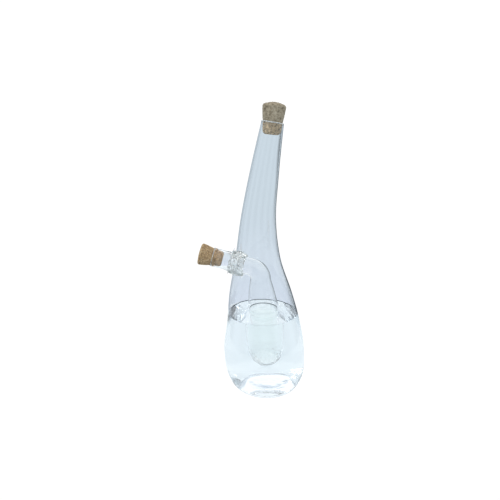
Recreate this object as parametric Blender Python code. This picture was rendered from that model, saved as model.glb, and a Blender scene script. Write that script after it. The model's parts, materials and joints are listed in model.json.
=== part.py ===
"""Two-chamber oil and vinegar cruet: a bottle inside a bottle, with two corks.

The frame is +Z up, with the origin at the centre of the foot and the side spout at -X.
Both bottles are turned shapes whose axis lies in the XZ plane: each ring has a height, an
axis position and a radius. The rings are level in the body and square to the axis at the lip.
"""

import math

import bmesh
import bpy
import numpy as np
from mathutils import Vector

MM = 0.001
GAP = 0.3 * MM  # left between pieces that touch on the real object

# Outer bottle: (height, axis position, radius) in millimetres, from the foot to the lip.
OUTER_STATIONS = (
    (1, -0.5, 28),
    (5, -2, 33.5),
    (15, -2.5, 39),
    (42, -4, 42),
    (75, -5, 37.5),
    (105, -8, 32),
    (140, -11, 23),
    (180, -11, 17.5),
    (225, -5.5, 14),
    (273, 2, 10.5),
)
OUTER_WALL = 1.7 * MM
LIP_WALL = 0.9 * MM
FLOOR_THICKNESS = 4.5 * MM
FLOOR_CORNER = 4.0 * MM  # height over which the cavity's wall turns into its floor
FLOOR_SHARE = 0.88  # the corner's radius, as a share of the cavity's just above it
FLAT_SHARE = 0.7  # the flat floor's radius, as a share of the corner's
FOOT_RADIUS = 25.5 * MM
LEAN_START = 160 * MM  # above this height the rings begin to turn square to the axis
LEAN_END = 240 * MM

# Spout: its axis rises to the left, from the middle of the weld in the wall.
WELD_CENTRE = Vector((-37.0, 0.0, 138.0)) * MM
SPOUT_RISE = math.radians(15)
SPOUT_AXIS = Vector((-math.cos(SPOUT_RISE), 0.0, math.sin(SPOUT_RISE)))
SPOUT_MOUTH = 20.5 * MM  # distance along the spout axis from the weld centre
SPOUT_RADIUS = 9.4 * MM
SPOUT_BORE = 8.1 * MM
SPOUT_MOUTH_BORE = 8.9 * MM
WELD_INNER_END = -6.0 * MM
WELD_OUTER_END = 3.0 * MM
WELD_RADIUS = 11.5 * MM
WELD_BORE = 7.7 * MM
WELD_HOLE_REACH = 14.0 * MM  # how far the wall's hole is cut on each side of the weld's middle
LIP_BEAD = 0.5 * MM  # how far the spout's lip stands out

# Inner bottle: a neck tube on the spout axis, a bend, and a bulb hanging from it.
INNER_WALL = 1.3 * MM
INNER_NECK_RADIUS = 9.0 * MM
BEND_START = 19.0 * MM  # distance inwards along the spout axis from the weld centre
BEND_RADIUS = 14.0 * MM
BEND_END_RADIUS = 10.5 * MM  # the tube widens round the bend towards the bulb
BEND_STEPS = 8
INNER_STATIONS = (
    (105, -7, 13.5),
    (92, -5.5, 15),
    (74, -4.5, 14.5),
    (55, -3.5, 14.5),
    (42, -3, 13),
    (34, -2.5, 9.5),
    (30.5, -2.5, 5.5),
)
INNER_BOTTOM = 29.0 * MM
INNER_FLOOR = 31.5 * MM
INNER_CORNER = 2.0 * MM  # height over which the bulb's wall turns into its floor

OUTER_LEVEL = 84 * MM
INNER_LEVEL = 88 * MM

# Corks: tapered plugs, pinched where the mouth grips them. The small end is inside the glass.
TOP_CORK = {
    "big": 11.0 * MM,
    "pinched": 9.3 * MM,
    "small": 8.5 * MM,
    "length": 29.0 * MM,
    "insertion": 11.5 * MM,
}
SIDE_CORK = {
    "big": 10.8 * MM,
    "pinched": 8.6 * MM,
    "small": 7.6 * MM,
    "length": 24.0 * MM,
    "insertion": 10.5 * MM,
}
TOP_CORK_LEAN = math.radians(5.5)  # pushed in a little more upright than the neck
CORK_ROUNDING = 1.6 * MM

OUTER_SIDES = 48
INNER_SIDES = 36
SMALL_SIDES = 32


def clear_scene():
    """Removes every object that the scene starts with."""
    for obj in list(bpy.data.objects):
        bpy.data.objects.remove(obj, do_unlink=True)


def make_material(name, colour, roughness, transmission=0.0, ior=1.45):
    """A Principled material with one colour."""
    material = bpy.data.materials.new(name)
    material.use_nodes = True
    shader = material.node_tree.nodes["Principled BSDF"]
    shader.inputs["Base Color"].default_value = (*colour, 1.0)
    shader.inputs["Roughness"].default_value = roughness
    shader.inputs["Metallic"].default_value = 0.0
    shader.inputs["Transmission Weight"].default_value = transmission
    shader.inputs["IOR"].default_value = ior
    material.diffuse_color = (*colour, 1.0)
    return material


def smooth_curve(stations, steps):
    """Points of a smooth curve through stations: a cubic in each span, spaced by chord length."""
    points = np.array(stations, float)
    chord = np.maximum(np.linalg.norm(np.diff(points, axis=0), axis=1), 1e-9)
    knots = np.concatenate([[0.0], np.cumsum(chord)])
    slopes = np.gradient(points, knots, axis=0)
    curve = []
    for i, span in enumerate(chord):
        for t in np.linspace(0, 1, steps, endpoint=False):
            rise = 3 * t**2 - 2 * t**3
            leave = (t - 2 * t**2 + t**3) * span
            arrive = (t**3 - t**2) * span
            curve.append(
                (1 - rise) * points[i] + rise * points[i + 1]
                + leave * slopes[i] + arrive * slopes[i + 1]
            )
    curve.append(points[-1])
    return np.array(curve)


def level_rings(stations, steps):
    """(centre, across, radius) of level rings through stations in millimetres."""
    return [
        (Vector((x, 0.0, z)) * MM, Vector((1, 0, 0)), radius * MM)
        for z, x, radius in smooth_curve(stations, steps).tolist()
    ]


def lean_rings(rings):
    """Turns the rings above LEAN_START towards square to the axis."""
    leaning = []
    for i, (centre, _, radius) in enumerate(rings):
        below = rings[max(i - 1, 0)][0]
        above = rings[min(i + 1, len(rings) - 1)][0]
        slope = math.atan2(above.x - below.x, above.z - below.z)
        share = min(max((centre.z - LEAN_START) / (LEAN_END - LEAN_START), 0.0), 1.0)
        turn = slope * share * share * (3 - 2 * share)
        leaning.append((centre, Vector((math.cos(turn), 0, -math.sin(turn))), radius))
    return leaning


def axis_rings(start, axis, profile):
    """Rings square to axis, for a profile of (distance along the axis, radius)."""
    across = Vector((axis.z, 0, -axis.x))
    return [(start + axis * along, across, radius) for along, radius in profile]


def loft(name, rings, sides, material, closed=False):
    """A solid whose skin runs through rings. It ends in a point at each end, or in its own start."""
    mesh = bmesh.new()
    skin = []
    for centre, across, radius in rings:
        if radius < 1e-9:
            skin.append([mesh.verts.new(centre)])
            continue
        turns = (2 * math.pi * k / sides for k in range(sides))
        skin.append([
            mesh.verts.new(centre + radius * (math.cos(a) * across + math.sin(a) * Vector((0, 1, 0))))
            for a in turns
        ])
    pairs = list(zip(skin, skin[1:]))
    if closed:
        pairs.append((skin[-1], skin[0]))
    for lower, upper in pairs:
        for k in range(sides):
            after = (k + 1) % sides
            if len(lower) == 1:
                corners = [lower[0], upper[after], upper[k]]
            elif len(upper) == 1:
                corners = [lower[k], lower[after], upper[0]]
            else:
                corners = [lower[k], lower[after], upper[after], upper[k]]
            mesh.faces.new(corners)
    bmesh.ops.recalc_face_normals(mesh, faces=mesh.faces)
    data = bpy.data.meshes.new(name)
    mesh.to_mesh(data)
    mesh.free()
    data.shade_smooth()
    data.set_sharp_from_angle(angle=math.radians(35))
    data.materials.append(material)
    obj = bpy.data.objects.new(name, data)
    bpy.context.scene.collection.objects.link(obj)
    return obj


def set_origin(obj, place):
    """Moves an object's origin to place, and leaves its surface where it is."""
    for vertex in obj.data.vertices:
        vertex.co -= place
    obj.location = place


def narrowed(rings, wall):
    """The same rings, smaller by the wall's thickness."""
    return [(centre, across, radius - wall) for centre, across, radius in rings]


def outer_wall_rings():
    """The outer bottle's outside, from just above the foot to the lip."""
    return lean_rings(level_rings(OUTER_STATIONS, 3))


def outer_cavity_rings():
    """The outer bottle's inside, from its floor to the lip."""
    rings = [ring for ring in outer_wall_rings() if ring[0].z > FLOOR_THICKNESS + FLOOR_CORNER]
    lip_z = rings[-1][0].z
    cavity = []
    for centre, across, radius in rings:
        share = min(max((centre.z - LEAN_START) / (lip_z - LEAN_START), 0.0), 1.0)
        wall = OUTER_WALL + (LIP_WALL - OUTER_WALL) * share
        cavity.append((centre, across, radius - wall))
    first = cavity[0]
    floor = Vector((first[0].x, 0, FLOOR_THICKNESS))
    corner = first[2] * FLOOR_SHARE
    return [
        (floor, first[1], 0.0),
        (floor, first[1], corner * FLAT_SHARE),
        (floor + Vector((0, 0, FLOOR_CORNER / 4)), first[1], corner),
        *cavity,
    ]


def make_outer_bottle(glass):
    """The outer bottle: flat foot, body, neck and lip, with the weld's hole in its wall."""
    across = Vector((1, 0, 0))
    foot = [(Vector((0, 0, 0)), across, 0.0), (Vector((0, 0, 0)), across, FOOT_RADIUS)]
    outside = outer_wall_rings()
    inside = outer_cavity_rings()[::-1]
    bottle = loft("outer_bottle", foot + outside + inside, OUTER_SIDES, glass)
    reach, radius = WELD_HOLE_REACH, WELD_RADIUS + GAP
    profile = ((-reach, 0), (-reach, radius), (reach, radius), (reach, 0))
    cutter = loft("weld_hole", axis_rings(WELD_CENTRE, SPOUT_AXIS, profile), SMALL_SIDES, glass)
    cutter.hide_render = True
    cutter.display_type = "WIRE"
    cut = bottle.modifiers.new("weld_hole", "BOOLEAN")
    cut.object = cutter
    cut.operation = "DIFFERENCE"
    cut.solver = "EXACT"


def inner_neck_rings():
    """The inner bottle's neck, from its end at the weld round the bend to the bend's end."""
    inwards = -SPOUT_AXIS
    start = WELD_CENTRE + inwards * (GAP - WELD_INNER_END)
    bend = WELD_CENTRE + inwards * BEND_START
    below = Vector((inwards.z, 0, -inwards.x))
    centre = bend + below * BEND_RADIUS
    rings = [(start, -below, INNER_NECK_RADIUS)]
    turn_angle = math.pi / 2 - SPOUT_RISE
    for step in range(BEND_STEPS + 1):
        share = step / BEND_STEPS
        turn = turn_angle * share
        out = inwards * math.sin(turn) - below * math.cos(turn)
        radius = INNER_NECK_RADIUS + (BEND_END_RADIUS - INNER_NECK_RADIUS) * share
        rings.append((centre + out * BEND_RADIUS, out, radius))
    return rings


def inner_bulb_rings():
    """The inner bottle's bulb, from the bend's end to its rounded bottom, top ring first."""
    start, _, radius = inner_neck_rings()[-1]
    bend_end = (start.z / MM, start.x / MM, radius / MM)
    return level_rings((bend_end, *INNER_STATIONS), 2)


def make_inner_bottle(glass):
    """The inner bottle: neck tube, bend and bulb, open at the weld end."""
    outside = inner_neck_rings()[:-1] + inner_bulb_rings()
    bottom = outside[-1][0].x
    inside = [ring for ring in outside if ring[0].z > INNER_FLOOR + INNER_CORNER]
    across = Vector((1, 0, 0))
    rings = [(Vector((bottom, 0, INNER_BOTTOM)), across, 0.0)]
    rings += outside[::-1]
    rings += narrowed(inside, INNER_WALL)
    rings.append((Vector((bottom, 0, INNER_FLOOR)), across, 0.0))
    loft("inner_bottle", rings, INNER_SIDES, glass)


def make_side_spout(glass):
    """The short tube outside the wall, with a rounded lip that the side cork fits."""
    start = WELD_OUTER_END + GAP
    profile = (
        (start, SPOUT_RADIUS + 0.3 * MM),
        (start + 5 * MM, SPOUT_RADIUS),
        (SPOUT_MOUTH - 1.5 * MM, SPOUT_RADIUS),
        (SPOUT_MOUTH - 0.3 * MM, SPOUT_RADIUS + LIP_BEAD),
        (SPOUT_MOUTH, SPOUT_RADIUS + 0.1 * MM),
        (SPOUT_MOUTH, SPOUT_MOUTH_BORE),
        (SPOUT_MOUTH - 8 * MM, SPOUT_BORE),
        (start, SPOUT_BORE - 0.2 * MM),
    )
    rings = axis_rings(WELD_CENTRE, SPOUT_AXIS, profile)
    loft("side_spout", rings, SMALL_SIDES, glass, closed=True)


def make_spout_weld(glass):
    """The thick ring of gathered glass that joins the inner neck, the wall and the spout."""
    middle = (WELD_INNER_END + WELD_OUTER_END) / 2
    profile = (
        (WELD_OUTER_END, WELD_BORE),
        (WELD_OUTER_END, WELD_RADIUS - 1.6 * MM),
        (WELD_OUTER_END - 1.2 * MM, WELD_RADIUS - 0.3 * MM),
        (middle, WELD_RADIUS),
        (WELD_INNER_END + 1.2 * MM, WELD_RADIUS - 0.5 * MM),
        (WELD_INNER_END, WELD_RADIUS - 2.0 * MM),
        (WELD_INNER_END, WELD_BORE),
    )
    rings = axis_rings(WELD_CENTRE, SPOUT_AXIS, profile)
    loft("spout_weld", rings, SMALL_SIDES, glass, closed=True)


def make_cork(name, mouth, axis, size, material):
    """A tapered cork in a mouth, with rounded edges and its origin in the middle of the mouth."""
    start = mouth - axis * size["insertion"]
    edge = CORK_ROUNDING
    profile = (
        (0, 0),
        (0, size["small"] - edge),
        (edge * 0.3, size["small"] - edge * 0.3),
        (edge, size["small"]),
        (size["insertion"], size["pinched"]),
        (size["length"] - edge, size["big"]),
        (size["length"] - edge * 0.3, size["big"] - edge * 0.3),
        (size["length"], size["big"] - edge),
        (size["length"], 0),
    )
    cork = loft(name, axis_rings(start, axis, profile), SMALL_SIDES, material)
    set_origin(cork, mouth)


def below_level(rings, level):
    """The rings under a level, lowest first, with one more ring at the level itself."""
    rings = sorted(rings, key=lambda ring: ring[0].z)
    under = [ring for ring in rings if ring[0].z < level - MM]
    last_centre, across, last_radius = under[-1]
    next_centre, _, next_radius = next(ring for ring in rings if ring[0].z >= level)
    share = (level - last_centre.z) / (next_centre.z - last_centre.z)
    edge_radius = last_radius + (next_radius - last_radius) * share
    return under + [(last_centre.lerp(next_centre, share), across, edge_radius)]


def make_outer_liquid(liquid):
    """The liquid between the bottles: a cup with a level top and a pocket for the inner bulb."""
    body = [ring for ring in outer_cavity_rings() if ring[0].z < LEAN_START and ring[2] > 0]
    skin = below_level(narrowed(body, GAP), OUTER_LEVEL)
    pocket = below_level(narrowed(inner_bulb_rings(), -GAP), OUTER_LEVEL)
    across = Vector((1, 0, 0))
    floor = FLOOR_THICKNESS + GAP
    rings = [(Vector((skin[0][0].x, 0, floor)), across, 0.0)]
    rings += [(Vector((c.x, 0, max(c.z, floor))), a, r) for c, a, r in skin]
    rings += pocket[::-1]
    rings.append((Vector((pocket[0][0].x, 0, INNER_BOTTOM - GAP)), across, 0.0))
    loft("outer_liquid", rings, INNER_SIDES, liquid)


def make_inner_liquid(liquid):
    """The liquid in the inner bottle, with a level top."""
    inside = [ring for ring in inner_bulb_rings() if ring[0].z > INNER_FLOOR + INNER_CORNER]
    skin = below_level(narrowed(inside, INNER_WALL + GAP), INNER_LEVEL)
    across = Vector((1, 0, 0))
    rings = [(Vector((skin[0][0].x, 0, INNER_FLOOR + GAP)), across, 0.0)]
    rings += skin
    rings.append((Vector((skin[-1][0].x, 0, INNER_LEVEL)), across, 0.0))
    loft("inner_liquid", rings, INNER_SIDES, liquid)


def main():
    clear_scene()
    glass = make_material("blown_glass", (0.80, 0.87, 0.91), 0.03, 1.0, 1.5)
    liquid = make_material("clear_liquid", (0.85, 0.95, 0.97), 0.02, 1.0, 1.33)
    top_material = make_material("top_cork", (0.30, 0.24, 0.17), 0.85)
    side_material = make_material("side_cork", (0.42, 0.29, 0.15), 0.85)
    make_outer_bottle(glass)
    make_inner_bottle(glass)
    make_side_spout(glass)
    make_spout_weld(glass)
    lip = outer_wall_rings()[-1][0]
    cork_axis = Vector((math.sin(TOP_CORK_LEAN), 0, math.cos(TOP_CORK_LEAN)))
    make_cork("top_cork", lip, cork_axis, TOP_CORK, top_material)
    mouth = WELD_CENTRE + SPOUT_AXIS * SPOUT_MOUTH
    make_cork("side_cork", mouth, SPOUT_AXIS, SIDE_CORK, side_material)
    make_outer_liquid(liquid)
    make_inner_liquid(liquid)


main()
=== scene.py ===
"""The looks of a two-chamber oil and vinegar cruet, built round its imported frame."""

import json
import logging
import math
from dataclasses import dataclass, field
from enum import Enum
from typing import Callable, Optional, Sequence

import bmesh
import bpy
import numpy as np
from bpy.types import Material, Node, NodeSocket, NodeTree, Object, World
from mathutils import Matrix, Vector, noise


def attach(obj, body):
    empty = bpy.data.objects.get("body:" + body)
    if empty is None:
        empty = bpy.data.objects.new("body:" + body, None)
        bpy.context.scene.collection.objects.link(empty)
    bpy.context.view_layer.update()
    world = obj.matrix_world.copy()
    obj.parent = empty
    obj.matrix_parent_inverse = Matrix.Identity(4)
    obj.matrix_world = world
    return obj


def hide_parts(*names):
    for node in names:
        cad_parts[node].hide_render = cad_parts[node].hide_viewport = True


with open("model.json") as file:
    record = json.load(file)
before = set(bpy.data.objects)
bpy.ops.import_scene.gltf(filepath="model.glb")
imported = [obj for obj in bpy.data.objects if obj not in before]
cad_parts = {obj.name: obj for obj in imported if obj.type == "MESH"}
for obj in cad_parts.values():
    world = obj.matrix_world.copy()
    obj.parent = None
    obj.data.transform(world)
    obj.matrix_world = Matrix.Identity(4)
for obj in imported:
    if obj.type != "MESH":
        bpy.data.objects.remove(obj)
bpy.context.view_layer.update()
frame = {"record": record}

LOG = logging.getLogger("cruet")
MM = 0.001
BODY = "glass_body"
UP = Vector((0, 0, 1))
RIGHT = Vector((1, 0, 0))

Ring = tuple[Vector, Vector, float]
"""A ring's centre, the unit vector across it in the XZ plane, and its radius."""

VALUE, FROM_LOW, FROM_HIGH, TO_LOW, TO_HIGH = range(5)
"""The Map Range node's inputs in their order."""

FACTOR = 0
A_NUMBER, B_NUMBER, A_VECTOR, B_VECTOR, A_COLOUR, B_COLOUR = range(2, 8)
"""The Mix node's inputs in their order."""


def colour_of(hex_code: str) -> tuple[float, float, float, float]:
    """A linear colour from an sRGB hex code.

    Args:
        hex_code: six hex digits, such as "C8D6DF".

    Returns:
        Linear red, green, blue and an alpha of 1.
    """
    parts = [int(hex_code[i : i + 2], 16) / 255 for i in (0, 2, 4)]
    linear = [c / 12.92 if c <= 0.04045 else ((c + 0.055) / 1.055) ** 2.4 for c in parts]
    return (linear[0], linear[1], linear[2], 1.0)


def add_node(
    tree: NodeTree,
    kind: str,
    settings: Optional[dict] = None,
    inputs: Optional[dict] = None,
) -> Node:
    """Adds a node with its settings, its input values and its links.

    Args:
        tree: the node tree.
        kind: the node's type name.
        settings: the node's own properties by name.
        inputs: by socket name or index: a value, an output socket to link from, or a node whose
            first output is linked.

    Returns:
        The new node.
    """
    node = tree.nodes.new(kind)
    for name, value in (settings or {}).items():
        setattr(node, name, value)
    for name, value in (inputs or {}).items():
        if isinstance(value, Node):
            value = value.outputs[0]
        if isinstance(value, NodeSocket):
            tree.links.new(value, node.inputs[name])
        else:
            node.inputs[name].default_value = value
    return node


def smooth_curve(stations: Sequence[Sequence[float]], steps: int) -> list[list[float]]:
    """Points of a smooth curve through stations.

    Args:
        stations: the points it runs through.
        steps: how many points each span gets.

    Returns:
        The curve's points: a cubic in each span, spaced by chord length.
    """
    points = np.array(stations, float)
    chord = np.maximum(np.linalg.norm(np.diff(points, axis=0), axis=1), 1e-9)
    knots = np.concatenate([[0.0], np.cumsum(chord)])
    slopes = np.gradient(points, knots, axis=0)
    curve = []
    for i, span in enumerate(chord):
        for t in np.linspace(0, 1, steps, endpoint=False):
            rise = 3 * t**2 - 2 * t**3
            leave = (t - 2 * t**2 + t**3) * span
            arrive = (t**3 - t**2) * span
            curve.append(
                (1 - rise) * points[i] + rise * points[i + 1]
                + leave * slopes[i] + arrive * slopes[i + 1]
            )
    curve.append(points[-1])
    return np.array(curve).tolist()


def level_rings(stations: Sequence[Sequence[float]], steps: int) -> list[Ring]:
    """Level rings through stations of height, axis position and radius in millimetres.

    Args:
        stations: (height, axis position, radius) in millimetres.
        steps: how many rings each span gets.

    Returns:
        The rings, from the first station to the last.
    """
    return [
        (Vector((x, 0.0, z)) * MM, RIGHT, radius * MM) for z, x, radius in smooth_curve(stations, steps)
    ]


def axis_rings(start: Vector, axis: Vector, profile: Sequence[Sequence[float]]) -> list[Ring]:
    """Rings square to an axis.

    Args:
        start: where distances along the axis begin.
        axis: the unit vector along it, in the XZ plane.
        profile: (distance along the axis, radius), in metres.

    Returns:
        The rings in the profile's order.
    """
    across = Vector((axis.z, 0, -axis.x))
    return [(start + axis * along, across, radius) for along, radius in profile]


def level_ring(x: float, height: float, radius: float) -> Ring:
    """One level ring, from its middle's place, its height and its radius in metres."""
    return (Vector((x, 0, height)), RIGHT, radius)


def narrowed(rings: Sequence[Ring], by: float) -> list[Ring]:
    """The same rings with each radius smaller by a wall's thickness."""
    return [(centre, across, radius - by) for centre, across, radius in rings]


def blend(low: float, high: float, value: float) -> float:
    """A smooth step from 0 at low to 1 at high."""
    share = min(max((value - low) / (high - low), 0.0), 1.0)
    return share * share * (3 - 2 * share)


def ring_at(rings: Sequence[Ring], height: float) -> Ring:
    """The level ring at a height, between the rings of a rising list.

    Args:
        rings: the rings from the lowest up.
        height: in metres.

    Returns:
        The ring, its middle and radius in proportion between its neighbours'.
    """
    heights = [ring[0].z for ring in rings]
    x = float(np.interp(height, heights, [ring[0].x for ring in rings]))
    radius = float(np.interp(height, heights, [ring[2] for ring in rings]))
    return level_ring(x, height, radius)


def finish_mesh(name: str, mesh: bmesh.types.BMesh) -> Object:
    """Turns a bmesh into a smooth object at the origin, crisp at its corners, facing outwards.

    Args:
        name: the piece's name.
        mesh: the closed surface. It is freed.

    Returns:
        The linked object.
    """
    bmesh.ops.recalc_face_normals(mesh, faces=mesh.faces)
    data = bpy.data.meshes.new(name)
    mesh.to_mesh(data)
    mesh.free()
    data.shade_smooth()
    data.set_sharp_from_angle(angle=math.radians(40))
    piece = bpy.data.objects.new(name, data)
    bpy.context.scene.collection.objects.link(piece)
    return piece


def loft(
    name: str,
    rings: Sequence[Ring],
    sides: int,
    closed: bool = False,
    shape: Optional[Callable[[Vector, Vector, int], Vector]] = None,
) -> Object:
    """A solid whose skin runs through rings.

    Args:
        name: the piece's name.
        rings: the rings in order. A radius of 0 is a point that closes an end.
        sides: points round each ring.
        closed: whether the last ring joins the first.
        shape: moves a point, given the point, its outward direction and its ring's number.

    Returns:
        The linked object.
    """
    mesh = bmesh.new()
    skin = []
    for number, (centre, across, radius) in enumerate(rings):
        if radius < 1e-9:
            skin.append([mesh.verts.new(centre)])
            continue
        loop = []
        for k in range(sides):
            turn = 2 * math.pi * k / sides
            out = math.cos(turn) * across + math.sin(turn) * Vector((0, 1, 0))
            point = centre + radius * out
            loop.append(mesh.verts.new(shape(point, out, number) if shape else point))
        skin.append(loop)
    pairs = list(zip(skin, skin[1:]))
    if closed:
        pairs.append((skin[-1], skin[0]))
    for lower, upper in pairs:
        for k in range(sides):
            after = (k + 1) % sides
            if len(lower) == 1:
                corners = [lower[0], upper[after], upper[k]]
            elif len(upper) == 1:
                corners = [lower[k], lower[after], upper[0]]
            else:
                corners = [lower[k], lower[after], upper[after], upper[k]]
            mesh.faces.new(corners)
    return finish_mesh(name, mesh)


def applied(piece: Object) -> Object:
    """Replaces a piece's mesh by what its modifiers make of it, and removes them.

    Args:
        piece: the object with its modifiers.

    Returns:
        The same piece, plain.
    """
    graph = bpy.context.evaluated_depsgraph_get()
    data = bpy.data.meshes.new_from_object(piece.evaluated_get(graph))
    piece.modifiers.clear()
    piece.data = data
    return piece


def blank_material(name: str) -> tuple[Material, NodeTree]:
    """A new material and its empty node tree."""
    material = bpy.data.materials.new(name)
    material.use_nodes = True
    material.node_tree.nodes.clear()
    return material, material.node_tree


def dress(piece: Object, material: Material) -> Object:
    """Gives a piece one material all over.

    Args:
        piece: the finished mesh.
        material: its only material.

    Returns:
        The same piece.
    """
    piece.data.materials.clear()
    piece.data.materials.append(material)
    piece.data.polygons.foreach_set("material_index", [0] * len(piece.data.polygons))
    return piece


def seat(piece: Object, body: str, node: str) -> None:
    """Makes a piece ride on a body and stand for a node, whose part it hides.

    Args:
        piece: the finished piece.
        body: the body's name in the frame.
        node: the node that it stands for.
    """
    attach(piece, body)
    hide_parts(node)
    LOG.info("%s rides on %s: %d faces", piece.name, body, len(piece.data.polygons))


class Tint(Enum):
    """The colours of the glass, the liquids and the room, as sRGB hex codes."""

    BLUE_GREY = "CBD7E6"
    CLEAR = "DDE8EC"
    SEA_GREEN = "D4EDE4"
    WATER = "D7E8F0"
    BRINE = "D5F2E6"
    GROUND = "F4F7F6"
    OPAL = "F0F9FE"
    # Painted shade: the dark ring at each liquid's top.
    MENISCUS_SHADE = "586472"
    WHITE = "FFFFFF"
    GREY_WALL = "D0DEE8"
    LAVENDER_WALL = "D9E3F3"


class Spread(Enum):
    """What a scatter tree hands on: only its copies, or its copies with the surface under them."""

    COPIES = "copies"
    COPIES_AND_SURFACE = "copies and surface"


@dataclass(frozen=True)
class Scatter:
    """A node tree that sets small rounded grains on a surface, each turned and sized at random."""

    name: str
    spread: Spread
    spacing: float  # millimetres between neighbouring grains
    smallest: tuple[float, float, float]  # half sizes in millimetres, out from the surface last
    largest: tuple[float, float, float]
    seed: int
    roundness: int = 1  # subdivisions of each grain
    crowd: float = 4.0e6  # grains tried on a square metre, before their spacing thins them
    lean: float = 0.25  # radians that a grain may tip
    least_tone: float = 0.1  # the darkest grain's tone, against 1 for the palest

    def tree(self) -> NodeTree:
        """The node tree, with its sizes as named inputs."""
        tree = bpy.data.node_groups.new(self.name, "GeometryNodeTree")
        for name, way, kind in (
            ("Surface", "INPUT", "Geometry"), ("Spacing", "INPUT", "Float"),
            ("Smallest", "INPUT", "Vector"), ("Largest", "INPUT", "Vector"),
            ("Seed", "INPUT", "Int"), ("Finish", "INPUT", "Material"),
            ("Grains", "OUTPUT", "Geometry"),
        ):
            tree.interface.new_socket(name, in_out=way, socket_type="NodeSocket" + kind)
        given = add_node(tree, "NodeGroupInput").outputs
        points = add_node(
            tree, "GeometryNodeDistributePointsOnFaces", {"distribute_method": "POISSON"},
            {
                "Mesh": given["Surface"], "Distance Min": given["Spacing"], "Density Max": self.crowd,
                "Seed": given["Seed"],
            },
        )
        grain = add_node(
            tree, "GeometryNodeMeshIcoSphere", inputs={"Radius": 1.0, "Subdivisions": self.roundness}
        )
        turns = (self.lean, self.lean, 2 * math.pi)
        size, spin = (
            add_node(
                tree, "FunctionNodeRandomValue", {"data_type": "FLOAT_VECTOR"},
                {0: least, 1: most, "Seed": given["Seed"]},
            )
            for least, most in ((given["Smallest"], given["Largest"]), ((0.0, 0.0, 0.0), turns))
        )
        turned = add_node(
            tree, "FunctionNodeRotateRotation", {"rotation_space": "LOCAL"},
            {0: points.outputs["Rotation"], 1: spin},
        )
        placed = add_node(
            tree, "GeometryNodeInstanceOnPoints",
            inputs={
                "Points": points.outputs["Points"], "Instance": grain.outputs["Mesh"],
                "Rotation": turned, "Scale": size,
            },
        )
        tone = add_node(
            tree, "FunctionNodeRandomValue", {"data_type": "FLOAT"},
            {2: self.least_tone, 3: 1.0, "Seed": given["Seed"]},
        )
        toned = add_node(
            tree, "GeometryNodeStoreNamedAttribute", {"data_type": "FLOAT", "domain": "INSTANCE"},
            {"Geometry": placed, "Name": "tone", "Value": tone.outputs[1]},
        )
        real = add_node(tree, "GeometryNodeRealizeInstances", inputs={0: toned})
        result = real.outputs[0]
        if self.spread is Spread.COPIES_AND_SURFACE:
            joined = add_node(tree, "GeometryNodeJoinGeometry", inputs={0: given["Surface"]})
            tree.links.new(result, joined.inputs[0])
            result = joined.outputs[0]
        dressed = add_node(
            tree, "GeometryNodeSetMaterial", inputs={"Geometry": result, "Material": given["Finish"]}
        )
        add_node(tree, "NodeGroupOutput", inputs={0: dressed})
        return tree

    def grow(self, piece: Object, finish: Material) -> Object:
        """Runs the tree on a piece and makes the result its plain mesh.

        Args:
            piece: the surface that the grains lie on.
            finish: the material of the result.

        Returns:
            The same piece.
        """
        tree = self.tree()
        modifier = piece.modifiers.new(self.name, "NODES")
        modifier.node_group = tree
        values = {
            "Spacing": self.spacing * MM, "Smallest": [size * MM for size in self.smallest],
            "Largest": [size * MM for size in self.largest], "Seed": self.seed, "Finish": finish,
        }
        for item in tree.interface.items_tree:
            if item.name in values:
                modifier[item.identifier] = values[item.name]
        applied(piece)
        piece.data.shade_smooth()
        return piece


@dataclass(frozen=True)
class ClearFinish:
    """A clear, glossy body with a faint tint that deepens with its thickness."""

    name: str
    tint: Tint
    density: float  # absorption per metre: how fast the tint deepens
    ior: float
    polish: float = 0.0  # surface roughness: 0 where nothing dulls it

    def ripple(self, tree: NodeTree) -> dict:
        """The shader's inputs for an uneven surface: none where it lies still."""
        return {}

    def make(self) -> Material:
        """The material: a clear surface round an absorption volume."""
        material, tree = blank_material(self.name)
        shader = add_node(
            tree, "ShaderNodeBsdfPrincipled",
            inputs={
                "Base Color": (1, 1, 1, 1), "Roughness": self.polish, "IOR": self.ior,
                "Transmission Weight": 1.0, **self.ripple(tree),
            },
        )
        volume = add_node(
            tree, "ShaderNodeVolumeAbsorption",
            inputs={"Color": colour_of(self.tint.value), "Density": self.density},
        )
        add_node(tree, "ShaderNodeOutputMaterial", inputs={"Surface": shader, "Volume": volume})
        return material


@dataclass(frozen=True)
class LiquidFinish(ClearFinish):
    """Clear thin liquid, oil or vinegar: perfectly smooth, so it shows only what it bends."""

    ior: float = 1.33


@dataclass(frozen=True)
class GlassFinish(ClearFinish):
    """Blown soda-lime glass: fire-polished, so glossy, with fine lengthwise cords in its surface."""

    ior: float = 1.5
    cord_height: float = 0.02  # millimetres
    cords: float = 260  # to a metre across the bottle, so each is about 4 mm wide
    drawn_out: float = 0.1  # a cord is ten times as long as it is wide

    def ripple(self, tree: NodeTree) -> dict:
        """The cords: a bump that runs along the bottle, the way that the glass was drawn.

        Args:
            tree: the material's node tree.

        Returns:
            The shader's normal, by its socket's name.
        """
        place = add_node(tree, "ShaderNodeTexCoord")
        drawn = add_node(
            tree, "ShaderNodeMapping",
            inputs={0: place.outputs["Object"], "Scale": (1, 1, self.drawn_out)},
        )
        cords = add_node(
            tree, "ShaderNodeTexNoise",
            inputs={"Vector": drawn, "Scale": self.cords, "Detail": 2.0, "Roughness": 0.45},
        )
        bump = add_node(
            tree, "ShaderNodeBump",
            inputs={"Height": cords.outputs["Fac"], "Strength": 0.5, "Distance": self.cord_height * MM},
        )
        return {"Normal": bump}


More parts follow.
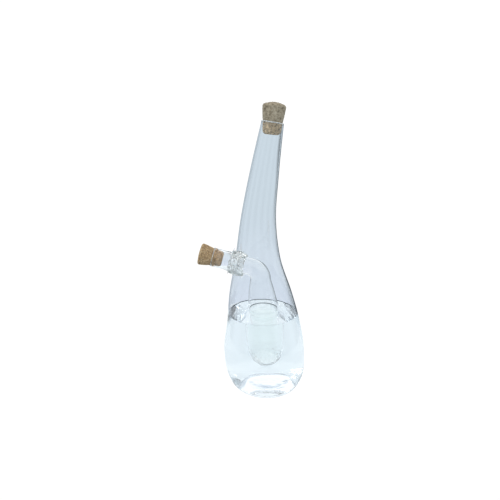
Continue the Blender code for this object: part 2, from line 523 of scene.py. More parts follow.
@dataclass(frozen=True)
class CorkFinish:
    """Cork: a dry, matt, springy bark, mottled by its cells and by the chips pressed into it."""

    name: str
    light: str
    middle: str
    dark: str
    patch: float  # millimetres across a patch of one shade
    chip_share: float  # how much of the shade a chip decides, against the slow patches
    relief: float  # millimetres
    painted_light_gain: tuple[float, float, float]  # painted light: how much paler the gripped end is painted, in red, green and blue, against the glass's shade
    fade: tuple[float, float] = (-1.5, 0.5)  # where that painted light stops, in millimetres from the mouth
    pore: float = 0.5  # millimetres: the cells are far too fine to show, so pores are drawn this coarse

    def make(self, mouth: Vector, axis: Vector) -> Material:
        """The material: each chip its own shade, slow mottling over it, fine dark pores, and painted
        light on the end that the glass grips.

        Args:
            mouth: the middle of the mouth that grips the cork.
            axis: the unit vector out of that mouth.

        Returns:
            The material.
        """
        material, tree = blank_material(self.name)
        place = add_node(tree, "ShaderNodeTexCoord").outputs["Object"]
        chip = add_node(tree, "ShaderNodeAttribute", {"attribute_name": "tone"})
        patches = add_node(
            tree, "ShaderNodeTexNoise",
            inputs={"Vector": place, "Scale": 1000 / self.patch, "Detail": 5.0, "Roughness": 0.65},
        )
        spread = add_node(
            tree, "ShaderNodeMapRange",
            inputs={VALUE: patches.outputs["Fac"], FROM_LOW: 0.32, FROM_HIGH: 0.68},
        )
        tone = add_node(
            tree, "ShaderNodeMix",
            inputs={FACTOR: self.chip_share, A_NUMBER: spread, B_NUMBER: chip.outputs["Fac"]},
        )
        ramp = add_node(tree, "ShaderNodeValToRGB", inputs={0: tone})
        stops = ramp.color_ramp.elements
        for stop, position, shade in ((stops[0], 0.08, self.dark), (stops[1], 0.9, self.light)):
            stop.position = position
            stop.color = colour_of(shade)
        stops.new(0.45).color = colour_of(self.middle)
        pores = add_node(
            tree, "ShaderNodeTexNoise",
            inputs={"Vector": place, "Scale": 1000 / self.pore, "Detail": 3.0},
        )
        # The bottom of a pore is about half as light as the cork round it.
        pits = add_node(
            tree, "ShaderNodeMapRange",
            inputs={
                VALUE: pores.outputs["Fac"], FROM_LOW: 0.34, FROM_HIGH: 0.46, TO_LOW: 0.55, TO_HIGH: 1.0
            },
        )
        colour = add_node(
            tree, "ShaderNodeMix", {"data_type": "RGBA", "blend_type": "MULTIPLY"},
            {FACTOR: 1.0, A_COLOUR: ramp, B_COLOUR: pits},
        )
        # Painted light: the end gripped in the glass is painted paler, to make up for the shade that the
        # glass round it casts.
        along = add_node(
            tree, "ShaderNodeVectorMath", {"operation": "DOT_PRODUCT"}, {0: place, 1: axis}
        )
        depth = mouth.dot(axis)
        painted_light_share = add_node(
            tree, "ShaderNodeMapRange",
            inputs={
                VALUE: along.outputs["Value"], FROM_LOW: depth + self.fade[0] * MM,
                FROM_HIGH: depth + self.fade[1] * MM, TO_LOW: 1.0, TO_HIGH: 0.0,
            },
        )
        gain = add_node(
            tree, "ShaderNodeMix", {"data_type": "VECTOR"},
            {FACTOR: painted_light_share, A_VECTOR: (1.0, 1.0, 1.0), B_VECTOR: self.painted_light_gain},
        )
        kept = add_node(
            tree, "ShaderNodeVectorMath", {"operation": "MULTIPLY"},
            {0: colour.outputs[2], 1: gain.outputs[1]},
        )
        bump = add_node(
            tree, "ShaderNodeBump",
            inputs={"Height": pits, "Strength": 0.7, "Distance": self.relief * MM},
        )
        shader = add_node(
            tree, "ShaderNodeBsdfPrincipled",
            inputs={"Base Color": kept, "Roughness": 0.85, "Specular IOR Level": 0.3, "Normal": bump},
        )
        add_node(tree, "ShaderNodeOutputMaterial", inputs={"Surface": shader})
        return material


@dataclass(frozen=True)
class FilmFinish:
    """A matt skin on glass: where a mouth was cut and stoned, or a dark ring of painted shade where a
    liquid's top meets the glass.
    """

    name: str
    tint: Tint
    roughness: float
    clearness: float  # share of the light that passes

    def make(self) -> Material:
        """The material: a milky skin that scatters light and passes some of it."""
        material, tree = blank_material(self.name)
        shader = add_node(
            tree, "ShaderNodeBsdfPrincipled",
            inputs={
                "Base Color": colour_of(self.tint.value), "Roughness": self.roughness, "IOR": 1.5,
                "Transmission Weight": self.clearness,
            },
        )
        add_node(tree, "ShaderNodeOutputMaterial", inputs={"Surface": shader})
        return material


@dataclass
class Spout:
    """The side spout: a short drawn tube, on the axis that the weld and the inner neck share."""

    weld: Vector  # where the axis meets the wall
    axis: Vector
    mouth: float = 20.5 * MM  # along the axis from the wall
    radius: float = 9.3 * MM
    bore: float = 8.1 * MM
    mouth_bore: float = 8.8 * MM
    start: float = -1.0 * MM  # the tube's end, inside the weld
    flare: float = 0.8 * MM  # how far the tube widens there
    flare_end: float = 0.35 * MM  # what is left of the flare 4 mm out
    pinch: float = 0.3 * MM  # how far the bore narrows in the weld
    waver: float = 0.1 * MM  # how far the drawn outside strays from true
    taper: float = 0.02 * MM  # how much the bore opens in each millimetre
    lip_height: float = 0.55 * MM
    lip_half: float = 0.5 * MM
    lip_inset: float = 0.15 * MM
    rim: float = 0.1 * MM  # how far the bore opens at the very edge
    sides: int = 96

    def at(self, along: float) -> Vector:
        """The point on the axis at a distance out from the wall."""
        return self.weld + self.axis * along

    def mouth_ring(self, along: float, radius: float) -> Ring:
        """A ring square to the axis, at a distance out from the wall."""
        return axis_rings(self.weld, self.axis, [(along, radius)])[0]

    def build(self) -> Object:
        """The tube from inside the weld to its rounded lip."""
        end = self.mouth
        lip = [
            (
                end - self.lip_height + self.lip_height * math.sin(t),
                self.radius - self.lip_inset + self.lip_half * math.cos(t),
            )
            for t in np.linspace(-0.5, math.pi / 2, 7).tolist()
        ]
        outside = [(self.start, self.radius + self.flare), (4 * MM, self.radius + self.flare_end)]
        outside += [(s * MM, self.radius + self.waver * math.cos(s)) for s in range(6, 19, 2)]
        inside = [(end, self.mouth_bore + self.rim), (end - 0.5 * MM, self.mouth_bore - self.rim)]
        inside += [(s * MM, self.bore + self.taper * (s - 10)) for s in range(18, 3, -2)]
        inside += [(self.start, self.bore - self.pinch)]
        rings = axis_rings(self.weld, self.axis, outside + lip + inside)
        return loft("side_spout_glass", rings, self.sides, closed=True)


@dataclass
class Weld:
    """The gathered ring of glass that fuses the spout, the wall and the inner neck."""

    spout: Spout
    folds: Scatter
    middle: float = -5.2 * MM  # along the spout's axis from the wall
    half_length: float = 6.6 * MM
    radius: float = 10.2 * MM
    half_thickness: float = 1.9 * MM
    fold_height: float = 1.2  # millimetres
    crease_depth: float = 1.5  # millimetres
    swell: float = 0.4  # millimetres
    ragged: tuple[float, float] = (-3 * MM, -11 * MM)  # where the inner end starts to straggle
    straggle: float = 4.0 * MM
    steps: int = 32
    sides: int = 144

    def build(self, finish: Material) -> Object:
        """The ring with the folds that the tool left in it, and runs of glass laid over them.

        Args:
            finish: the material of the gather.

        Returns:
            The linked object.
        """
        profile = []
        for k in range(self.steps):
            turn = 2 * math.pi * k / self.steps
            along = self.middle + self.half_length * math.cos(turn)
            profile.append((along, self.radius + self.half_thickness * math.sin(turn)))

        def fold(point: Vector, out: Vector, number: int) -> Vector:
            """Moves a point by folds about 5 mm apart, and by the creases between them."""
            coarse = noise.noise(point * 210)
            crease = abs(noise.noise(point * 330 + UP * 9))
            lift = (self.fold_height * coarse - self.crease_depth * crease + self.swell) * MM
            along = (point - self.spout.weld).dot(self.spout.axis)
            torn = blend(*self.ragged, along) * noise.noise(out * 2.2 + UP * 4)
            away = (point - self.spout.at(self.middle)).normalized()
            return point + lift * away - self.spout.axis * (self.straggle * torn)

        rings = axis_rings(self.spout.weld, self.spout.axis, profile)
        ring = loft("spout_weld_glass", rings, self.sides, closed=True, shape=fold)
        return self.folds.grow(ring, finish)


@dataclass
class OuterBottle:
    """The outer bottle: foot, teardrop body, leaning neck and fire-polished lip."""

    stations: tuple = (
        (1, -0.5, 28), (5, -2, 33.5), (15, -2.5, 39), (42, -4, 42), (75, -5, 37.5), (105, -8, 32),
        (140, -11, 23), (180, -11, 17.5), (225, -5.5, 14), (273, 2, 10.5),
    )
    wall: float = 0.9 * MM
    floor: float = 3.6 * MM
    floor_corner: float = 4.5 * MM  # how high the inside's rounded corner reaches over the floor
    foot_radius: float = 25.5 * MM
    foot_edge: float = 1.1 * MM  # how far out the foot's edge is rounded
    punt_radius: float = 24.0 * MM
    punt_height: float = 11.0 * MM
    lean: tuple[float, float] = (160 * MM, 240 * MM)  # where the rings turn square to the neck
    hole: float = 9.9 * MM
    true_foot: tuple[float, float] = (1.0 * MM, 14 * MM)  # the wall's waves begin over this height
    true_lip: tuple[float, float] = (255 * MM, 271 * MM)  # and end over this one
    waves: float = 0.12 * MM  # unevenness of the outside
    inside_waves: float = 0.1 * MM
    scar: float = 0.22 * MM  # roughness of the push-up's middle
    scar_reach: tuple[float, float] = (10 * MM, 22 * MM)
    sides: int = 128

    def wall_rings(self) -> list[Ring]:
        """The outside from just above the foot to the lip, turned square to the axis at the neck."""
        rings = level_rings(self.stations, 12)
        leaning = []
        for i, (centre, _, radius) in enumerate(rings):
            below = rings[max(i - 1, 0)][0]
            above = rings[min(i + 1, len(rings) - 1)][0]
            slope = math.atan2(above.x - below.x, above.z - below.z)
            turn = slope * blend(*self.lean, centre.z)
            leaning.append((centre, Vector((math.cos(turn), 0, -math.sin(turn))), radius))
        return leaning

    def cavity_rings(self) -> list[Ring]:
        """The inside, from above the floor's corner to the lip."""
        start = self.floor + self.floor_corner
        return narrowed([ring for ring in self.wall_rings() if ring[0].z > start], self.wall)

    def floor_rings(self) -> list[Ring]:
        """The inside of the floor, from its middle to the bottom of the cavity's wall."""
        first = self.cavity_rings()[0]
        depth = first[0].z - self.floor
        rings = []
        for turn in np.linspace(0, math.pi / 2, 24, endpoint=False).tolist():
            radius = first[2] * math.sin(turn)
            height = self.floor + self.push_up(radius) + depth * (1 - math.cos(turn)) ** 1.6
            middle = first[0].x * blend(0, first[2], radius)
            rings.append(level_ring(middle, height, radius))
        return rings

    def lip_rings(self) -> list[Ring]:
        """The rounded lip, from the outside over to the inside."""
        centre, across, radius = self.wall_rings()[-1]
        up = Vector((-across.z, 0, across.x))
        half = self.wall / 2
        return [
            (centre + up * (half * math.sin(t) - half), across, radius - half + half * math.cos(t))
            for t in np.linspace(0.0, math.pi, 9).tolist()
        ]

    def push_up(self, radius: float) -> float:
        """How far the foot is pushed up at a distance from its middle."""
        return self.punt_height * (1 - blend(0.6 * self.punt_radius, self.punt_radius, radius))

    def foot_rings(self) -> list[Ring]:
        """The underside: a push-up in the middle and the flat ring that it stands on."""
        rings = []
        for share in np.linspace(0, 1, 31).tolist():
            radius = self.punt_radius * share
            rings.append(level_ring(0, self.push_up(radius), radius))
        rings.append(level_ring(0, 0, self.foot_radius))
        rings.append(level_ring(-0.1 * MM, 0.2 * MM, self.foot_radius + self.foot_edge))
        return rings

    def build(self, spout: Spout) -> Object:
        """The whole bottle, with the hole that the inner neck passes through.

        Args:
            spout: the axis that the hole is cut along.

        Returns:
            The linked object.
        """
        foot = self.foot_rings()
        rings = foot + self.wall_rings()[:-1] + self.lip_rings()
        punt_rings = range(len(foot) - 2)
        inside_from = len(rings)
        rings += self.cavity_rings()[-2::-1] + self.floor_rings()[::-1]

        def hand_blown(point: Vector, out: Vector, number: int) -> Vector:
            """Moves a point by the slow unevenness of a hand-blown wall."""
            steady = blend(*self.true_foot, point.z) * (1 - blend(*self.true_lip, point.z))
            drawn = Vector((point.x, point.y, point.z * 0.35))
            if number in punt_rings:
                scar = noise.noise(point * 260) + 0.6 * noise.noise(point * 620)
                near = 1 - blend(*self.scar_reach, math.hypot(point.x, point.y))
                return point + UP * (self.scar * scar * near)
            if number < inside_from:
                return point + out * (self.waves * steady * noise.noise(drawn * 30))
            wave = noise.noise(drawn * 45 + RIGHT * 5) + 0.35 * noise.noise(drawn * 150)
            return point + out * (self.inside_waves * steady * wave)

        bottle = loft("outer_bottle_glass", rings, self.sides, shape=hand_blown)
        ends = (-20 * MM, 14 * MM)
        profile = [(ends[0], 0), (ends[0], self.hole), (ends[1], self.hole), (ends[1], 0)]
        cutter = loft("neck_hole", axis_rings(spout.weld, spout.axis, profile), 64)
        cut = bottle.modifiers.new("neck_hole", "BOOLEAN")
        cut.object = cutter
        cut.operation = "DIFFERENCE"
        cut.solver = "EXACT"
        applied(bottle)
        bpy.data.objects.remove(cutter, do_unlink=True)
        return bottle


@dataclass
class InnerBottle:
    """The inner bottle: a neck on the spout's axis, a bend and a hanging bulb."""

    stations: tuple = (
        (119.6, -8.3, 10.5), (105, -7, 13.5), (92, -5.5, 15), (74, -4.5, 14.5), (55, -3.5, 14.5),
        (42, -3, 13), (34, -2.5, 9.5), (30.5, -2.5, 5.5),
    )
    neck_radius: float = 9.0 * MM
    wall: float = 0.6 * MM
    bend_start: float = 19.0 * MM
    bend_radius: float = 14.0 * MM
    bend_end_radius: float = 10.5 * MM
    bottom: float = 29.0 * MM
    inside_floor: float = 31.5 * MM
    floor_corner: float = 2 * MM  # how far over the floor the inside's wall begins
    waves: float = 0.12  # millimetres of unevenness outside
    inside_waves: float = 0.1  # millimetres
    knob: float = 0.5  # millimetres of lumps where the bulb was cut off
    knob_heights: tuple[float, float] = (32 * MM, 46 * MM)  # the lumps die away between these
    seeded_rings: int = 16  # how many rings at the bulb's foot hold bubbles
    sides: int = 96

    def neck_rings(self, spout: Spout) -> list[Ring]:
        """The neck, from its end in the weld round the bend.

        Args:
            spout: the axis that the neck starts on.

        Returns:
            The rings in that order.
        """
        inwards = -spout.axis
        below = Vector((inwards.z, 0, -inwards.x))
        bend = spout.at(-self.bend_start)
        centre = bend + below * self.bend_radius
        rings = [
            (spout.at(-s), -below, self.neck_radius)
            for s in np.linspace(1.0 * MM, self.bend_start, 12, endpoint=False).tolist()
        ]
        whole = math.pi / 2 - math.atan2(spout.axis.z, -spout.axis.x)
        for share in np.linspace(0, 1, 24, endpoint=False).tolist():
            out = inwards * math.sin(whole * share) - below * math.cos(whole * share)
            radius = self.neck_radius + (self.bend_end_radius - self.neck_radius) * share
            rings.append((centre + out * self.bend_radius, out, radius))
        return rings

    def bulb_rings(self) -> list[Ring]:
        """The bulb, from below the bend to its rounded bottom."""
        return level_rings(self.stations, 8)

    def rising_rings(self) -> list[Ring]:
        """The bulb's rings from the lowest up."""
        return sorted(self.bulb_rings(), key=lambda ring: ring[0].z)

    def build(self, spout: Spout) -> Object:
        """The whole inner bottle, open at the weld.

        Args:
            spout: the axis that its neck starts on.

        Returns:
            The linked object.
        """
        outside = self.neck_rings(spout) + self.bulb_rings()
        inside = [ring for ring in outside if ring[0].z > self.inside_floor + self.floor_corner]
        x = outside[-1][0].x
        rings = [level_ring(x, self.bottom, 0.0), level_ring(x, self.bottom + 0.2 * MM, 3.0 * MM)]
        rings += outside[::-1]
        inside_from = len(rings)
        rings += narrowed(inside, self.wall)
        rings.append(level_ring(x, self.inside_floor + 0.3 * MM, 4.5 * MM))
        rings.append(level_ring(x, self.inside_floor, 0.0))

        def hand_blown(point: Vector, out: Vector, number: int) -> Vector:
            """Moves a point by the unevenness of the wall and the knob where the bulb was cut off."""
            steady = 1 - blend(20 * MM, 32 * MM, abs(point.x - x))
            wave = noise.noise(Vector((point.x, point.y, point.z * 0.4)) * 70 + RIGHT * 2)
            near = 1 - blend(*self.knob_heights, point.z)
            lumps = noise.noise(point * 420) + 0.5 * noise.noise(point * 900)
            size = self.waves if number < inside_from else self.inside_waves
            return point + out * MM * (size * steady * wave + self.knob * near * lumps)

        return loft("inner_bottle_glass", rings, self.sides, shape=hand_blown)

    def build_seeds(self, finish: Material) -> Object:
        """The small bubbles that the bulb's foot keeps, drawn as bright beads.

        Args:
            finish: the material of the beads.

        Returns:
            The linked object.
        """
        beads = Scatter(
            "bulb_beads", Spread.COPIES, spacing=2.4,
            smallest=(0.25, 0.25, 0.2), largest=(0.9, 0.7, 0.5), seed=6, roundness=2,
        )
        foot = narrowed(self.rising_rings()[: self.seeded_rings], self.wall)
        return beads.grow(loft("bulb_seeds", foot, 48), finish)


@dataclass
class Hoop:
    """A thin closed ring on the glass: the ground edge of a mouth, or a dark ring of painted shade at a
    liquid's top.
    """

    name: str
    middle: Ring
    thickness: float  # radius of its round section at the back
    front_share: float = 1.0  # how thick it is at the front, as a share of the back

    def build(self, finish: Material) -> Object:
        """The hoop, as a closed ring.

        Args:
            finish: the ring's material.

        Returns:
            The linked object.
        """
        centre, across, radius = self.middle
        out = Vector((-across.z, 0, across.x))
        turns = np.linspace(0, 2 * math.pi, 12, endpoint=False).tolist()
        rings = [
            (
                centre + out * (self.thickness * math.sin(t)),
                across,
                radius + self.thickness * math.cos(t),
            )
            for t in turns
        ]

        def thinned(point: Vector, out_way: Vector, number: int) -> Vector:
            """Thins the hoop's section towards the front."""
            core = centre + out_way * radius
            share = self.front_share + (1 - self.front_share) * blend(-0.25, 0.45, out_way.y)
            return core + (point - core) * share

        ring = loft(self.name, rings, 96, closed=True, shape=thinned)
        dress(ring, finish)
        return ring


@dataclass
class Liquids:
    """The two liquids: each fills its chamber to a level top that curls up at the glass."""

    outer_level: float = 84 * MM
    inner_level: float = 88 * MM
    curl_height: float = 0.6 * MM
    bulb_curl_height: float = 0.4 * MM
    inner_curl_height: float = 0.2 * MM
    curl_length: float = 1.3 * MM
    into_glass: float = 0.15 * MM  # how far each liquid reaches into the wall that it wets
    below_top: float = 0.5 * MM  # where the wall's own rings stop, under each level
    shade_line: float = 0.42 * MM  # half thickness of the outer painted shade line at the back
    inner_shade_line: float = 0.5 * MM
    shade_line_front: float = 0.04  # share of that thickness at the front

    def curl(self, height: float, from_wall: float) -> float:
        """How far a liquid stands above its level, at a distance from a wall that it climbs."""
        return height * math.exp(-from_wall / self.curl_length)

    def build_outer(self, bottle: OuterBottle, inner: InnerBottle) -> Object:
        """The liquid between the bottles, as a cup round the inner bulb.

        Args:
            bottle: the outer bottle, whose inside the liquid wets.
            inner: the inner bottle, whose outside it wets.

        Returns:
            The linked object.
        """
        top = self.outer_level + self.curl_height
        floor = [
            (c - UP * self.into_glass, a, r + self.into_glass * blend(20 * MM, 30 * MM, r))
            for c, a, r in bottle.floor_rings()
        ]
        sides = narrowed(bottle.cavity_rings(), -self.into_glass)
        end = self.outer_level - self.below_top
        rings = floor + [ring for ring in sides if ring[0].z < end]
        wall = ring_at(sides, top)
        bulb = narrowed(inner.rising_rings(), self.into_glass)
        pocket = ring_at(bulb, self.outer_level + self.bulb_curl_height)
        rings.append(wall)
        width = wall[2] - pocket[2]
        for share in np.linspace(0, 1, 61).tolist()[1:-1]:
            eased = 0.5 - 0.5 * math.cos(math.pi * share)
            centre = wall[0].lerp(pocket[0], eased)
            height = self.outer_level + self.curl(self.curl_height, width * eased)
            height += self.curl(self.bulb_curl_height, width * (1 - eased))
            rings.append(level_ring(centre.x, height, wall[2] - width * eased))
        rings.append(pocket)
        lower = [ring for ring in bulb if ring[0].z < end]
        rings += lower[::-1]
        rings.append(level_ring(lower[0][0].x, inner.bottom + self.into_glass, 0.0))
        return loft("outer_liquid_fill", rings, 96)

    def build_inner(self, inner: InnerBottle) -> Object:
        """The liquid in the inner bulb.

        Args:
            inner: the inner bottle.

        Returns:
            The linked object.
        """
        top = self.inner_level + self.inner_curl_height
        bulb = narrowed(inner.rising_rings(), inner.wall - self.into_glass)
        start = inner.inside_floor + inner.floor_corner
        skin = [ring for ring in bulb if ring[0].z > start]
        floor = inner.inside_floor - self.into_glass
        x = skin[0][0].x
        rings = [level_ring(x, floor, 0.0), level_ring(x, floor + 0.3 * MM, 4.6 * MM)]
        rings += [ring for ring in skin if ring[0].z < self.inner_level - self.below_top]
        wall = ring_at(skin, top)
        rings.append(wall)
        for share in np.linspace(0, 1, 40).tolist()[1:]:
            eased = 1 - math.cos(math.pi / 2 * share)
            height = self.inner_level + self.curl(self.inner_curl_height, wall[2] * eased)
            rings.append(level_ring(wall[0].x, height, wall[2] * (1 - eased)))
        return loft("inner_liquid_fill", rings, 80)

    def painted_shade_lines(self, bottle: OuterBottle, inner: InnerBottle) -> tuple[Hoop, Hoop]:
        """The dark lines of painted shade on the glass at the two liquids' tops.

        Args:
            bottle: the outer bottle.
            inner: the inner bottle.

        Returns:
            The outer liquid's line and the inner liquid's.
        """
        bulb = narrowed(inner.rising_rings(), inner.wall)
        outer_ring = ring_at(bottle.cavity_rings(), self.outer_level + self.curl_height)
        inner_ring = ring_at(bulb, self.inner_level + self.inner_curl_height)
        outer_ring, inner_ring = narrowed([outer_ring, inner_ring], 0.1 * MM)
        return (
            Hoop("outer_painted_shade_line", outer_ring, self.shade_line, self.shade_line_front),
            Hoop("inner_painted_shade_line", inner_ring, self.inner_shade_line, self.shade_line_front),
        )


@dataclass
class Cork:
    """A tapered cork, pinched by the mouth that grips it, with chips set in its surface."""

    name: str
    big: float
    pinched: float
    small: float
    length: float
    insertion: float
    edge: float  # how far the worn edges are rounded
    dome: float  # how far the big end swells
    chips: Scatter
    grain: float = 0.06  # millimetres that torn cells stand up
    pits: float = 0.25  # millimetres

    def profile(self) -> list[tuple[float, float]]:
        """(distance from the small end, radius) along the cork, with worn edges."""
        edge = self.edge
        points = [(0.0, 0.0), (0.0, self.small * 0.5)]
        for t in np.linspace(0, math.pi / 2, 7).tolist():
            points.append((edge * (1 - math.cos(t)), self.small - edge * (1 - math.sin(t))))
        for share in np.linspace(0, 1, 40).tolist()[1:-1]:
            along = edge + (self.length - 2 * edge) * share
            gripped = min(along / self.insertion, 1.0)
            free = max((along - self.insertion) / (self.length - self.insertion), 0.0)
            squeezed = self.small + (self.pinched - self.small) * gripped
            points.append((along, squeezed + (self.big - self.pinched) * math.sin(free * math.pi / 2)))
        for t in np.linspace(0, math.pi / 2, 7).tolist():
            drop = self.dome + edge * (1 - math.sin(t))
            points.append((self.length - drop, self.big - edge * (1 - math.cos(t))))
        flat = self.big - edge
        for share in (0.75, 0.5, 0.25, 0.0):
            points.append((self.length - self.dome * share**2, flat * share))
        return points

    def build(self, mouth: Vector, axis: Vector, finish: Material) -> Object:
        """The cork in its mouth, its surface picked and set with chips.

        Args:
            mouth: the middle of the mouth.
            axis: the unit vector out of it.
            finish: the cork's material.

        Returns:
            The linked object.
        """
        start = mouth - axis * self.insertion

        def picked(point: Vector, out: Vector, number: int) -> Vector:
            """Moves a point by the cork's torn cells."""
            rough = noise.noise(point * 900) + 0.6 * noise.noise(point * 2100)
            hollow = min(noise.noise(point * 420 + UP) + 0.2, 0.0)
            return point + out * MM * (self.grain * rough + self.pits * hollow)

        cork = loft(self.name, axis_rings(start, axis, self.profile()), 96, shape=picked)
        return self.chips.grow(cork, finish)


@dataclass
class Studio:
    """The stage: a pale round table lit from below, and a soft white room with grey flags in it."""

    camera_place: Vector
    camera_pitch: float = math.radians(15)
    lens: float = 32.2
    table_radius: float = 0.24
    table_middle: float = 0.1  # radius of the table's brightest part
    table_glow: tuple[float, float] = (1.08, 1.02)  # in that part, and at the rim
    opal_glow: float = 1.03  # what the table and the foot of the walls give the glass
    white_glow: float = 1.05  # what the room gives the eye
    open_glow: float = 1.35  # what the glass gets from above the walls
    wall_glow: float = 0.97
    flags: int = 8
    flag_glow: float = 0.65
    black_glow: float = 0.12
    window_place: Vector = field(default_factory=lambda: Vector((-0.8, -0.7, 0.9)))
    window_aim: Vector = field(default_factory=lambda: Vector((0, 0, 0.12)))
    window_size: float = 0.25
    window_power: float = 2.5
    bounces: int = 32

    def build(self) -> None:
        """Makes the table, the room, the light and the camera."""
        scene = bpy.context.scene
        self.add_table()
        scene.world = self.room()
        self.add_window()
        data = bpy.data.cameras.new("camera")
        data.lens = self.lens
        camera = bpy.data.objects.new("camera", data)
        camera.location = self.camera_place
        camera.rotation_euler = (math.pi / 2 - self.camera_pitch, 0, 0)
        scene.collection.objects.link(camera)
        scene.camera = camera
        scene.view_settings.view_transform = "Standard"
        scene.cycles.max_bounces = self.bounces
        scene.cycles.transmission_bounces = self.bounces
        scene.cycles.transparent_max_bounces = 16
        scene.cycles.glossy_bounces = 12

    def add_table(self) -> None:
        """Makes the table: opal acrylic, brightest under the bottle and evenly white at its rim."""
        mesh = bmesh.new()
        bmesh.ops.create_circle(mesh, cap_ends=True, segments=96, radius=self.table_radius)
        table = finish_mesh("floor", mesh)
        opal, tree = blank_material("opal_acrylic")
        place = add_node(tree, "ShaderNodeTexCoord").outputs["Object"]
        distance = add_node(tree, "ShaderNodeVectorMath", {"operation": "LENGTH"}, {0: place})
        glow = add_node(
            tree, "ShaderNodeMapRange",
            inputs={
                VALUE: distance.outputs["Value"], FROM_LOW: self.table_middle,
                FROM_HIGH: self.table_radius, TO_LOW: self.table_glow[0], TO_HIGH: self.table_glow[1],
            },
        )
        # The glass looks at pale cyan opal, and the eye at white.
        seen = add_node(tree, "ShaderNodeLightPath").outputs["Is Camera Ray"]
        strength = add_node(
            tree, "ShaderNodeMix", inputs={FACTOR: seen, A_NUMBER: self.opal_glow, B_NUMBER: glow}
        )
        shade = add_node(
            tree, "ShaderNodeMix", {"data_type": "RGBA"},
            {FACTOR: seen, A_COLOUR: colour_of(Tint.OPAL.value), B_COLOUR: colour_of(Tint.WHITE.value)},
        )
        light = add_node(
            tree, "ShaderNodeEmission", inputs={"Color": shade.outputs[2], "Strength": strength}
        )
        add_node(tree, "ShaderNodeOutputMaterial", inputs={"Surface": light})
        dress(table, opal)

    def room(self) -> World:
        """The room: white to the eye, with upright grey flags that draw the glass's edges."""
        world = bpy.data.worlds.new("soft_room")
        world.use_nodes = True
        tree = world.node_tree
        tree.nodes.clear()
        way = add_node(tree, "ShaderNodeTexCoord").outputs["Generated"]
        east, north, height = add_node(tree, "ShaderNodeSeparateXYZ", inputs={0: way}).outputs
        bearing = add_node(tree, "ShaderNodeMath", {"operation": "ARCTAN2"}, {0: east, 1: north})
        # The flags stand all round, half way between the main directions.
        waves = add_node(
            tree, "ShaderNodeMath", {"operation": "MULTIPLY"}, {0: bearing, 1: float(self.flags)}
        )
        # The first one to the right of the back wall is black, and the others are grey.
        from_black = add_node(
            tree, "ShaderNodeMath", {"operation": "SUBTRACT"}, {0: bearing, 1: math.pi / self.flags}
        )
        wave, facing = (
            add_node(tree, "ShaderNodeMath", {"operation": "COSINE"}, {0: turn})
            for turn in (waves, from_black)
        )
        depth = add_node(
            tree, "ShaderNodeMapRange",
            inputs={
                VALUE: facing, FROM_LOW: 0.88, FROM_HIGH: 0.97, TO_LOW: self.flag_glow,
                TO_HIGH: self.black_glow,
            },
        )
        flags = add_node(
            tree, "ShaderNodeMapRange",
            inputs={
                VALUE: wave, FROM_LOW: -0.45, FROM_HIGH: 0.45, TO_LOW: depth, TO_HIGH: self.wall_glow
            },
        )
        # The walls run from well above eye level down to the table, and the flags stop sooner.
        over_flags, over_walls, under_walls, low = (
            add_node(
                tree, "ShaderNodeMapRange",
                inputs={
                    VALUE: height, FROM_LOW: bottom, FROM_HIGH: top, TO_LOW: start, TO_HIGH: 1.0 - start,
                },
            )
            for bottom, top, start in (
                (0.1, 0.27, 0.0), (0.27, 0.38, 0.0), (-0.48, -0.4, 1.0), (-0.42, -0.18, 1.0),
            )
        )
        seen = add_node(tree, "ShaderNodeLightPath").outputs["Is Camera Ray"]
        strength = flags
        for share, glow in (
            (over_flags, self.wall_glow), (under_walls, self.opal_glow),
            (over_walls, self.open_glow), (seen, self.white_glow),
        ):
            strength = add_node(
                tree, "ShaderNodeMix", inputs={FACTOR: share, A_NUMBER: strength, B_NUMBER: glow}
            )
        plain = add_node(tree, "ShaderNodeMath", {"operation": "MAXIMUM"}, {0: over_walls, 1: seen})
        # The walls are a cool grey at eye level and turn to lavender towards the table.
        shade = colour_of(Tint.GREY_WALL.value)
        for share, tint in (
            (low, Tint.LAVENDER_WALL), (under_walls, Tint.OPAL), (plain, Tint.WHITE),
        ):
            mixed = add_node(
                tree, "ShaderNodeMix", {"data_type": "RGBA"},
                {FACTOR: share, A_COLOUR: shade, B_COLOUR: colour_of(tint.value)},
            )
            shade = mixed.outputs[2]
        back = add_node(tree, "ShaderNodeBackground", inputs={"Color": shade, "Strength": strength})
        add_node(tree, "ShaderNodeOutputWorld", inputs={"Surface": back})
        return world

    def add_window(self) -> None:
        """Adds the window: one square soft light from the front left."""
        data = bpy.data.lights.new("window", "AREA")
        data.size = self.window_size
        data.energy = self.window_power
        light = bpy.data.objects.new("window", data)
        light.location = self.window_place
        turned = (self.window_aim - self.window_place).to_track_quat("-Z", "Y")
        light.rotation_euler = turned.to_euler()
        bpy.context.scene.collection.objects.link(light)


def cork_axis(joint_name: str) -> Vector:
    """The direction in which a joint of the frame pulls its cork."""
    joint = next(j for j in frame["record"]["behaviour"]["joints"] if j["name"] == joint_name)
    return Vector(joint["axis"]).normalized()


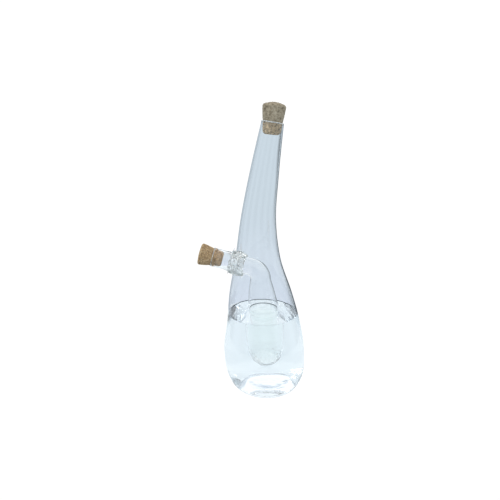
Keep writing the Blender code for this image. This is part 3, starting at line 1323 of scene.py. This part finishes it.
def main() -> None:
    """Builds the cruet's pieces in order, then the studio round them."""
    logging.basicConfig(level=logging.INFO, format="%(name)s: %(message)s")
    spout = Spout(weld=Vector((-37.0, 0, 138.0)) * MM, axis=cork_axis("side_cork_pull"))
    bottle = OuterBottle()
    inner = InnerBottle()
    liquids = Liquids()
    lip, lip_across, lip_radius = bottle.wall_rings()[-1]
    lip_out = Vector((-lip_across.z, 0, lip_across.x))
    top_way = cork_axis("top_cork_pull")
    spout_mouth = spout.at(spout.mouth)

    outer_glass = GlassFinish("soda_lime_blue_grey", Tint.BLUE_GREY, density=20.0).make()
    inner_glass = GlassFinish("soda_lime_clear", Tint.CLEAR, density=30.0, cord_height=0.03).make()
    weld_glass = GlassFinish("soda_lime_gather", Tint.SEA_GREEN, density=18.0, polish=0.05).make()
    outer_liquid = LiquidFinish("clear_oil", Tint.WATER, density=4.0).make()
    inner_liquid = LiquidFinish("clear_vinegar", Tint.BRINE, density=7.0).make()
    ground = FilmFinish("ground_glass_lip", Tint.GROUND, roughness=0.6, clearness=0.5).make()
    # A dark opaque ring at each liquid's top: painted shade for the dark line that the curled surface
    # shows.
    meniscus_shade = FilmFinish("painted_meniscus_shade", Tint.MENISCUS_SHADE, roughness=0.6, clearness=0.0).make()
    # Each cork's gripped end is painted paler: painted light against the shade of the glass round it.
    natural = CorkFinish(
        "natural_cork", "BCB19E", "A09580", "695E4B",
        patch=2.2, chip_share=0.25, relief=0.2, painted_light_gain=(1.85, 1.66, 1.42),
    ).make(lip, top_way)
    granulated = CorkFinish(
        "granulated_cork", "F8E4C0", "D8B888", "705A42",
        patch=1.2, chip_share=0.75, relief=0.25, painted_light_gain=(1.5, 1.42, 1.3),
    ).make(spout_mouth, spout.axis)

    seat(dress(bottle.build(spout), outer_glass), BODY, "outer_bottle")
    seat(dress(inner.build(spout), inner_glass), BODY, "inner_bottle")
    seat(dress(spout.build(), inner_glass), BODY, "side_spout")

    folds = Scatter(
        "weld_folds", Spread.COPIES_AND_SURFACE, spacing=5.5,
        smallest=(1.8, 0.3, 0.3), largest=(4.6, 0.6, 0.5), seed=4, roundness=3,
    )
    seat(Weld(spout, folds).build(weld_glass), BODY, "spout_weld")

    neck_ring = (lip - lip_out * 0.45 * MM, lip_across, lip_radius - 0.4 * MM)
    neck_edge = Hoop("neck_lip_edge", neck_ring, thickness=0.5 * MM)
    seat(neck_edge.build(ground), BODY, "outer_bottle")
    spout_ring = spout.mouth_ring(spout.mouth - 0.4 * MM, spout.radius - 0.1 * MM)
    spout_edge = Hoop("spout_lip_edge", spout_ring, thickness=0.28 * MM)
    seat(spout_edge.build(ground), BODY, "side_spout")

    oil = dress(liquids.build_outer(bottle, inner), outer_liquid)
    seat(oil, BODY, "outer_liquid")
    vinegar = dress(liquids.build_inner(inner), inner_liquid)
    seat(vinegar, BODY, "inner_liquid")
    # Painted shade: a dark ring on the glass at each liquid's top.
    outer_shade_line, inner_shade_line = liquids.painted_shade_lines(bottle, inner)
    seat(outer_shade_line.build(meniscus_shade), BODY, "outer_liquid")
    seat(inner_shade_line.build(meniscus_shade), BODY, "inner_liquid")

    seat(inner.build_seeds(inner_glass), BODY, "inner_bottle")

    lenticels = Scatter(
        "lenticels", Spread.COPIES_AND_SURFACE, spacing=1.7,
        smallest=(0.3, 0.2, 0.05), largest=(1.1, 0.6, 0.14), seed=3,
    )
    top = Cork(
        "top_cork_cut", big=11.0 * MM, pinched=9.3 * MM, small=8.5 * MM, length=29 * MM,
        insertion=11.5 * MM, edge=3.2 * MM, dome=1.5 * MM, chips=lenticels,
    )
    seat(top.build(lip, top_way, natural), "top_cork", "top_cork")

    granules = Scatter(
        "granules", Spread.COPIES_AND_SURFACE, spacing=0.62,
        smallest=(0.22, 0.2, 0.06), largest=(0.6, 0.45, 0.15), seed=8,
    )
    side = Cork(
        "side_cork_ground", big=10.8 * MM, pinched=8.6 * MM, small=7.6 * MM, length=24 * MM,
        insertion=10.5 * MM, edge=2.3 * MM, dome=0.7 * MM, chips=granules,
    )
    seat(side.build(spout_mouth, spout.axis, granulated), "side_cork", "side_cork")

    Studio(camera_place=Vector((-19.0, -430.0, 265.5)) * MM).build()


if __name__ == "__main__":
    main()
